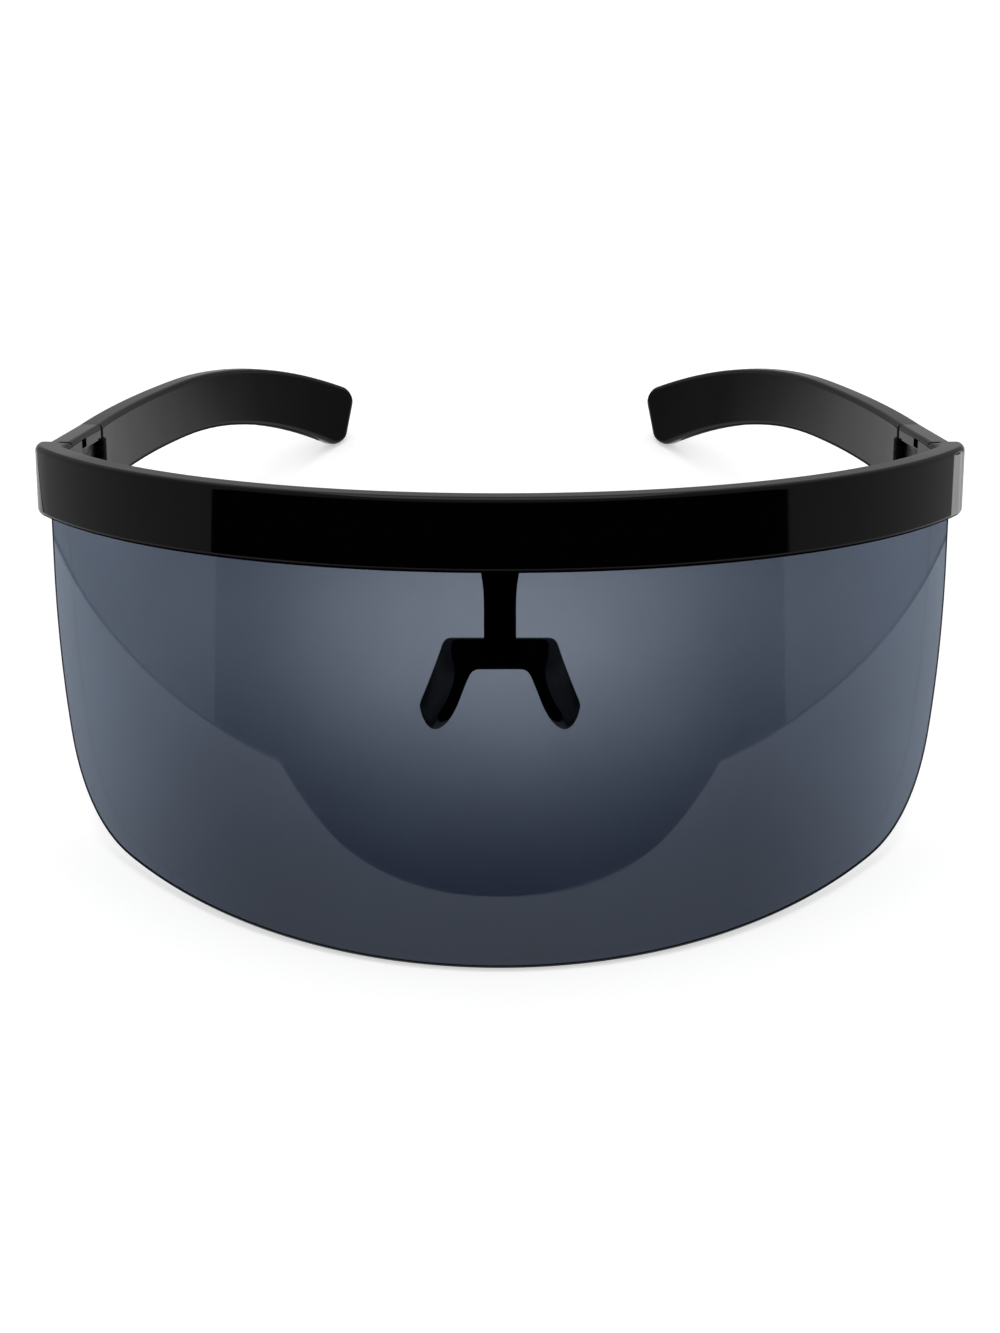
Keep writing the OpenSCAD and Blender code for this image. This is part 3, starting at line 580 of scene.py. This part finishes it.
lens_half = middle_r * half_angle - END_GAP
lens_top = GROOVE_DEEP - BAR_H - SEAT
side_at = (lens_half - SIDE_R, -BAR_H - UPRIGHT)
corner_at = (side_at[0] + (SIDE_R - CORNER_R) * math.cos(SIDE_TURN),
             side_at[1] - (SIDE_R - CORNER_R) * math.sin(SIDE_TURN))
rise = corner_at[1] + FRONT_HIGH
bow_r = (corner_at[0] ** 2 + rise ** 2 - CORNER_R ** 2) / (2 * (rise - CORNER_R))
bow_at = (0, bow_r - FRONT_HIGH)
corner_end = math.atan2(corner_at[1] - bow_at[1], corner_at[0])


def arc(at, r, start, end, steps):
    angles = [start + (end - start) * i / steps for i in range(steps)]
    return [(at[0] + r * math.cos(a), at[1] + r * math.sin(a)) for a in angles]


half_line = ([(lens_half, lens_top)] + arc(side_at, SIDE_R, 0, -SIDE_TURN, SIDE_STEPS)
             + arc(corner_at, CORNER_R, -SIDE_TURN, corner_end, CORNER_STEPS)
             + arc(bow_at, bow_r, corner_end, -math.pi / 2, BOW_STEPS))
outline = half_line + [(0, -FRONT_HIGH)] + [(-s, z) for s, z in reversed(half_line)]
lengths = [math.dist(a, b) for a, b in zip(outline, outline[1:])]
corner_length = sum(lengths[:SIDE_STEPS + CORNER_STEPS // 2])
print("outline of", len(outline), "points; bar curve", round(bar_r / MM, 2), "mm")

# %% [markdown]
# The tree starts from a block whose places run from 0 to 1 across, up and into the depth, and
# carries each of its points to the lens. Four borders guide it: the top edge, the two sides and
# the bottom, which meet half-way round the lower corners. Blending opposite borders, less their
# corners, fills the inside evenly. These helpers do the blending in nodes.

# %% Helpers for the lens
RINGS = 2


def between(tree, a, b, share):
    """Number a at share 0, b at share 1."""
    return plus(tree, a, times(tree, minus(tree, b, a), share))


def blend(tree, a, b, share):
    """The same for places."""
    way = vector_node(tree, "SCALE", vector_node(tree, "SUBTRACT", b, a), Scale=share)
    return vector_node(tree, "ADD", a, way)


def inner_share(tree, share, count):
    """Share counted without the rings outside; it stays 0 or 1 on those."""
    steps = minus(tree, times(tree, share, minus(tree, count, 1.0)), RINGS)
    whole = math_node(tree, "DIVIDE", steps, minus(tree, count, 1.0 + 2 * RINGS))
    return math_node(tree, "MAXIMUM", math_node(tree, "MINIMUM", whole, 1.0), 0.0)


def from_border(tree, share, count):
    """Number of points between this one and the nearer end."""
    off = minus(tree, 0.5, math_node(tree, "ABSOLUTE", minus(tree, share, 0.5)))
    return times(tree, off, minus(tree, count, 1.0))


def filled(tree, line, size, across, up, inset, band):
    """Place in the flat outline, drawn in by the inset, and by the band most on the sides."""
    def on_outline(length):
        at = add(tree, "GeometryNodeSampleCurve", {"mode": "LENGTH"}, Curves=line, Length=length)
        way = add(tree, "ShaderNodeSeparateXYZ", Vector=at.outputs["Tangent"]).outputs
        spot = add(tree, "ShaderNodeSeparateXYZ", Vector=at.outputs["Position"]).outputs
        inward = add(tree, "ShaderNodeCombineXYZ", X=way["Z"], Z=times(tree, way["X"], -1.0))
        out = math_node(tree, "DIVIDE", spot["X"], size["Half width"])
        wide = between(tree, BOTTOM_BAND, 1.0, times(tree, out, out))
        wide = plus(tree, inset, times(tree, band, wide))
        step = vector_node(tree, "SCALE", inward.outputs[0], Scale=wide)
        return vector_node(tree, "ADD", at.outputs["Position"], step)

    start, whole, all_in = size["Corner length"], size["Outline length"], plus(tree, inset, band)
    end = minus(tree, whole, start)
    side = between(tree, start, all_in, up)
    bottom = on_outline(between(tree, start, end, across))
    left, right = on_outline(side), on_outline(minus(tree, whole, side))
    half = minus(tree, size["Half width"], all_in)
    reach = between(tree, half, times(tree, half, -1.0), across)
    top_height = minus(tree, size["Top"], all_in)
    top = add(tree, "ShaderNodeCombineXYZ", X=reach, Z=top_height).outputs[0]
    corners = blend(tree, blend(tree, on_outline(start), on_outline(end), across), top, up)
    both = vector_node(tree, "ADD", blend(tree, bottom, top, up), blend(tree, left, right, across))
    place = vector_node(tree, "SUBTRACT", both, corners)
    return add(tree, "ShaderNodeSeparateXYZ", Vector=place).outputs


print("rings round the lens:", RINGS)

# %% [markdown]
# The outermost ring of points lies on the outline itself and steps in from both faces, and the
# next one lies inside by as much, so the rim is chamfered. A third ring marks a narrow band.
# Band and outer chamfer get the dark finish that draws the thin line round the real lens. Last,
# the flat place turns into an angle and a radius round the upright axis.

# %% Lens
tree, size = geometry_tree("bent_sheet", [
    ("Half width", "Float"), ("Top", "Float"), ("Corner length", "Float"),
    ("Outline length", "Float"), ("Front radius", "Float"), ("Bend radius", "Float"),
    ("Axis distance", "Float"), ("Thickness", "Float"), ("Chamfer", "Float"), ("Band", "Float"),
    ("Columns", "Int"), ("Rows", "Int"), ("Finish", "Material")])
columns, rows, chamfer = size["Columns"], size["Rows"], size["Chamfer"]
line = add(tree, "GeometryNodeMeshToCurve", Mesh=size["Geometry"]).outputs[0]
block = add(tree, "GeometryNodeMeshCube", Vertices_X=columns, Vertices_Y=rows, Vertices_Z=2)
middle = add(tree, "GeometryNodeInputPosition").outputs[0]
spot = vector_node(tree, "ADD", middle, (0.5, 0.5, 0.5))
share = add(tree, "ShaderNodeSeparateXYZ", Vector=spot).outputs
across, up, into = share["X"], share["Y"], share["Z"]
ring = math_node(tree, "MINIMUM", from_border(tree, across, columns), from_border(tree, up, rows))
first, second = [math_node(tree, "GREATER_THAN", ring, i + 0.5) for i in range(RINGS)]
flat = filled(tree, line, size, inner_share(tree, across, columns), inner_share(tree, up, rows),
              times(tree, first, chamfer), times(tree, second, size["Band"]))
step = times(tree, minus(tree, 1.0, first), chamfer)
depth = between(tree, step, minus(tree, size["Thickness"], step), into)
radius = minus(tree, size["Front radius"], depth)
angle = math_node(tree, "DIVIDE", flat["X"], size["Bend radius"])
ahead = times(tree, radius, math_node(tree, "COSINE", angle))
bent = add(tree, "ShaderNodeCombineXYZ", X=times(tree, radius, math_node(tree, "SINE", angle)),
           Y=minus(tree, size["Axis distance"], ahead), Z=flat["Z"])
dark = times(tree, math_node(tree, "LESS_THAN", ring, RINGS + 0.5),
             math_node(tree, "LESS_THAN", into, 0.5))
marked = add(tree, "GeometryNodeStoreNamedAttribute", {"data_type": "FLOAT", "domain": "POINT"},
             Geometry=block.outputs["Mesh"], Name="rim", Value=dark)
shell = add(tree, "GeometryNodeSetPosition", Geometry=marked.outputs[0], Position=bent.outputs[0])
merged = add(tree, "GeometryNodeMergeByDistance", Geometry=shell.outputs[0], Distance=MERGE)
end_tree(tree, merged.outputs[0], size["Finish"])

carrier = bpy.data.meshes.new("outline")
links = [(i, i + 1) for i in range(len(outline) - 1)]
carrier.from_pydata([(s, 0, z) for s, z in outline], links, [])
lens = run_tree(tree, "lens_shell", carrier, {
    "Half width": lens_half, "Top": lens_top, "Corner length": corner_length,
    "Outline length": sum(lengths), "Front radius": lens_r, "Bend radius": middle_r,
    "Axis distance": bar_r, "Thickness": LENS_THICK, "Chamfer": LENS_CHAMFER,
    "Band": DARK_BAND, "Columns": 183, "Rows": 51, "Finish": lens_tint})
outward(lens)
lens.materials.clear()
lens.materials.append(lens_tint)
lens.materials.append(lens_edge)
rim = lens.attributes["rim"]
for face in lens.polygons:
    face.material_index = int(all(rim.data[v].value > 0.5 for v in face.vertices))
lens.attributes.remove(rim)
lens.transform(stand)
shade(lens, 20)
finish_piece(link_to_world(bpy.data.objects.new("lens_shell", lens)), None, "lens_tint", "front",
             "shield_lens")
print("lens:", len(lens.polygons), "faces; half width", round(lens_half / MM, 2), "mm")

# %% [markdown]
# Every screw here is a small pan head on a plain shank. A lathe would turn both in one go, and
# so does the first function: it takes the screw's side view and turns it round an axis. The
# second makes the box that a punch would leave for one arm of the cross.

# %% Turned body and cross arm
ROUND_STEPS = 40
BOX_FACES = [(0, 2, 3, 1), (4, 5, 7, 6), (0, 1, 5, 4), (2, 6, 7, 3), (0, 4, 6, 2), (1, 3, 7, 5)]


def turned(points, steps):
    """A closed shape turned round Z from (radius, height) points; the first and last lie on Z."""
    spots = [(0, 0, points[0][1])]
    for r, z in points[1:-1]:
        angles = [2 * math.pi * i / steps for i in range(steps)]
        spots += [(r * math.cos(a), r * math.sin(a), z) for a in angles]
    spots.append((0, 0, points[-1][1]))
    faces = [(0, 1 + (i + 1) % steps, 1 + i) for i in range(steps)]
    for row in range(len(points) - 3):
        a, b = 1 + row * steps, 1 + (row + 1) * steps
        faces += [(a + i, a + (i + 1) % steps, b + (i + 1) % steps, b + i) for i in range(steps)]
    last = len(spots) - 1
    start = last - steps
    faces += [(last, start + i, start + (i + 1) % steps) for i in range(steps)]
    return spots, faces


def cross_arm(name, long, wide, low, deep, turn):
    """A box as long and wide to either side, from the height low up by as much as deep."""
    spots = [(x * long, y * wide, low + z * deep) for z in (-1, 1) for y in (-1, 1) for x in (-1, 1)]
    spin = Matrix.Rotation(math.radians(turn), 3, "Z")
    arm = plain_mesh(name, [spin @ Vector(p) for p in spots], BOX_FACES)
    outward(arm.data)
    return arm


print("a screw head is turned in", ROUND_STEPS, "steps")

# %% [markdown]
# The head is flat in its middle and round towards its rim. The shank runs along +Z and the head
# lies below, so a screw only needs a place and a turn to be set.

# %% One screw
FLAT_SHARE, CROWN_SHARE, CROWN_ANGLES = 0.7, 0.55, (22, 45, 67, 90)
CROSS_LONG, CROSS_WIDE, CROSS_DEEP = 0.62, 0.14, 0.55


def screw_mesh(name, head_r, head_h, shank_r, shank_l):
    low, flat_r = -head_h, FLAT_SHARE * head_r
    side = [(0, low), (flat_r, low)]
    side += [(flat_r + (head_r - flat_r) * math.sin(a), low + CROWN_SHARE * head_h * (1 - math.cos(a)))
             for a in (math.radians(degrees) for degrees in CROWN_ANGLES)]
    side += [(head_r, 0), (shank_r, 0), (shank_r, shank_l), (0, shank_l)]
    body = plain_mesh(name + "_body", *turned(side, ROUND_STEPS))
    outward(body.data)
    for turn in (0, 90):
        arm = cross_arm(name + "_cutter", CROSS_LONG * head_r, CROSS_WIDE * head_r, low,
                        CROSS_DEEP * head_h, turn)
        cut = body.modifiers.new("cross", "BOOLEAN")
        cut.object, cut.operation, cut.solver = arm, "DIFFERENCE", "EXACT"
        mesh = evaluated_mesh(body)
        body.modifiers.clear()
        body.data = mesh
        bpy.data.objects.remove(arm)
    bpy.data.objects.remove(body)
    mesh.name = name
    outward(mesh)
    shade(mesh, SMOOTH_ANGLE)
    return mesh


def set_screw(name, mesh, place, material, slot, *nodes):
    mesh.transform(place)
    obj = link_to_world(bpy.data.objects.new(name, mesh))
    return finish_piece(obj, material, slot, "front", *nodes)


print("the cross reaches", CROSS_LONG, "of a head's radius")

# %% [markdown]
# Four screws hold the lens in the bar's groove, two on each side of the stem. They stand on
# the bar's arc, so the tree places points by angle, as shares of half the arc, and turns each
# screw to face the axis. Instances save work, and become real meshes at the end.

# %% Lens screws
SCREWS, INNER_SHARE, OUTER_SHARE = 4, 0.42, 0.86
pattern = bpy.data.objects.new("screw_pattern", screw_mesh(
    "screw_pattern", head_r=1.4 * MM, head_h=0.7 * MM, shank_r=0.7 * MM,
    shank_l=BAR_T - GROOVE_WALL / 2))
link_to_world(pattern)
tree, size = geometry_tree("screws_on_arc", [
    ("Screw", "Object"), ("Inner share", "Float"), ("Outer share", "Float"),
    ("Half angle", "Float"), ("Radius", "Float"), ("Axis distance", "Float"),
    ("Height", "Float"), ("Finish", "Material")])
dots = add(tree, "GeometryNodePoints", Count=SCREWS)
number = add(tree, "GeometryNodeInputIndex").outputs[0]
from_middle = minus(tree, number, (SCREWS - 1) / 2)
beyond = minus(tree, math_node(tree, "ABSOLUTE", from_middle), 0.5)
share = times(tree, math_node(tree, "SIGN", from_middle),
              between(tree, size["Inner share"], size["Outer share"], beyond))
angle = times(tree, share, size["Half angle"])
ahead = times(tree, size["Radius"], math_node(tree, "COSINE", angle))
spot = add(tree, "ShaderNodeCombineXYZ",
           X=times(tree, size["Radius"], math_node(tree, "SINE", angle)),
           Y=minus(tree, size["Axis distance"], ahead), Z=size["Height"])
placed = add(tree, "GeometryNodeSetPosition", Geometry=dots.outputs[0], Position=spot.outputs[0])
facing = add(tree, "ShaderNodeCombineXYZ", X=math.pi / 2, Z=angle)
shape = add(tree, "GeometryNodeObjectInfo", Object=size["Screw"])
copies = add(tree, "GeometryNodeInstanceOnPoints", Points=placed.outputs[0],
             Instance=shape.outputs["Geometry"], Rotation=facing.outputs[0])
end_tree(tree, copies.outputs[0], size["Finish"])
screws = run_tree(tree, "lens_screws", bpy.data.meshes.new("empty"), {
    "Screw": pattern, "Inner share": INNER_SHARE, "Outer share": OUTER_SHARE,
    "Half angle": half_angle, "Radius": bar_r - BAR_T - SEAT, "Axis distance": bar_r,
    "Height": GROOVE_DEEP / 2 - BAR_H, "Finish": screw_steel})
bpy.data.objects.remove(pattern)
shade(screws, SMOOTH_ANGLE)
set_screw("lens_screws", screws, stand, screw_steel, "screw_steel",
          *["lens_screw_%d" % (i + 1) for i in range(SCREWS)])
print("lens screws:", len(screws.polygons), "faces")

# %% [markdown]
# The other screws stand alone: one through the stem, one across each end piece's tongue, and
# one in each hinge. The side frame starts at the bar's outer corner and leans inwards.

# %% Other screws
SIDE_LEAN = math.radians(5.5)
END_T, END_IN, END_L, FOLD = 4.3 * MM, 1.7 * MM, 19 * MM, 0.2 * MM
TEMPLE_H, ROOF, STEM_T, TAB_W = 11.8 * MM, 2.4 * MM, 1.7 * MM, 9 * MM
TONGUE_SINK, TONGUE_AHEAD, PIVOT_IN = 0.3 * MM, 2 * MM, 0.5 * MM
outer_x = bend_x + BEND_R * math.cos(SIDE_LEAN)
outer_y = BAR_BOW + BEND_R * math.sin(SIDE_LEAN)
stem_y = bar_r - math.sqrt((bar_r - BAR_T) ** 2 - TAB_W ** 2 / 4) + SEAT
upper_z = -(BAR_H - GROOVE_DEEP) / 2
inner_face = -END_IN - END_T


def beside(sign, x, y, z, turn=None):
    """Place in the side frame of the left side (sign 1) or the right side (sign -1)."""
    spin = Matrix.Rotation(sign * SIDE_LEAN, 4, "Z")
    outer = Matrix.Translation((sign * outer_x, outer_y, 0))
    return stand @ outer @ spin @ Matrix.Translation((sign * x, y, z)) @ (turn or Matrix.Identity(4))


mesh = screw_mesh("stem_screw", head_r=1.5 * MM, head_h=0.8 * MM, shank_r=0.7 * MM, shank_l=4 * MM)
behind_stem = stand @ Matrix.Translation((0, stem_y + SEAT + STEM_T, upper_z))
set_screw("stem_screw", mesh, behind_stem @ Matrix.Rotation(math.pi / 2, 4, "X"), screw_steel,
          "screw_steel", "nose_screw")
for side, sign in (("left", 1), ("right", -1)):
    mesh = screw_mesh(side + "_tongue_screw", head_r=1.1 * MM, head_h=0.6 * MM, shank_r=0.45 * MM,
                      shank_l=2.5 * MM)
    sideways = Matrix.Rotation(sign * math.pi / 2, 4, "Y")
    set_screw(side + "_tongue_screw", mesh,
              beside(sign, inner_face + TONGUE_SINK, -TONGUE_AHEAD, upper_z, sideways),
              screw_steel, "screw_steel", side + "_end_screw")
    mesh = screw_mesh(side + "_pivot_screw", head_r=0.95 * MM, head_h=0.6 * MM, shank_r=0.55 * MM,
                      shank_l=6.9 * MM)
    set_screw(side + "_pivot_screw", mesh,
              beside(sign, inner_face + PIVOT_IN, END_L + FOLD / 2, ROOF - TEMPLE_H),
              hinge_metal, "hinge_dark", side + "_hinge_screw")
print("screws set")

# %% [markdown]
# The hinge leaves are small and rightly shaped in the CAD, so their nodes stay and only get
# the dark metal.

# %% Hinge leaves
for name in ("left_front_leaf", "right_front_leaf", "left_temple_leaf", "right_temple_leaf"):
    mesh = frame["nodes"][name].data
    mesh.materials.clear()
    mesh.materials.append(hinge_metal)
print("hinge leaves in", hinge_metal.name)
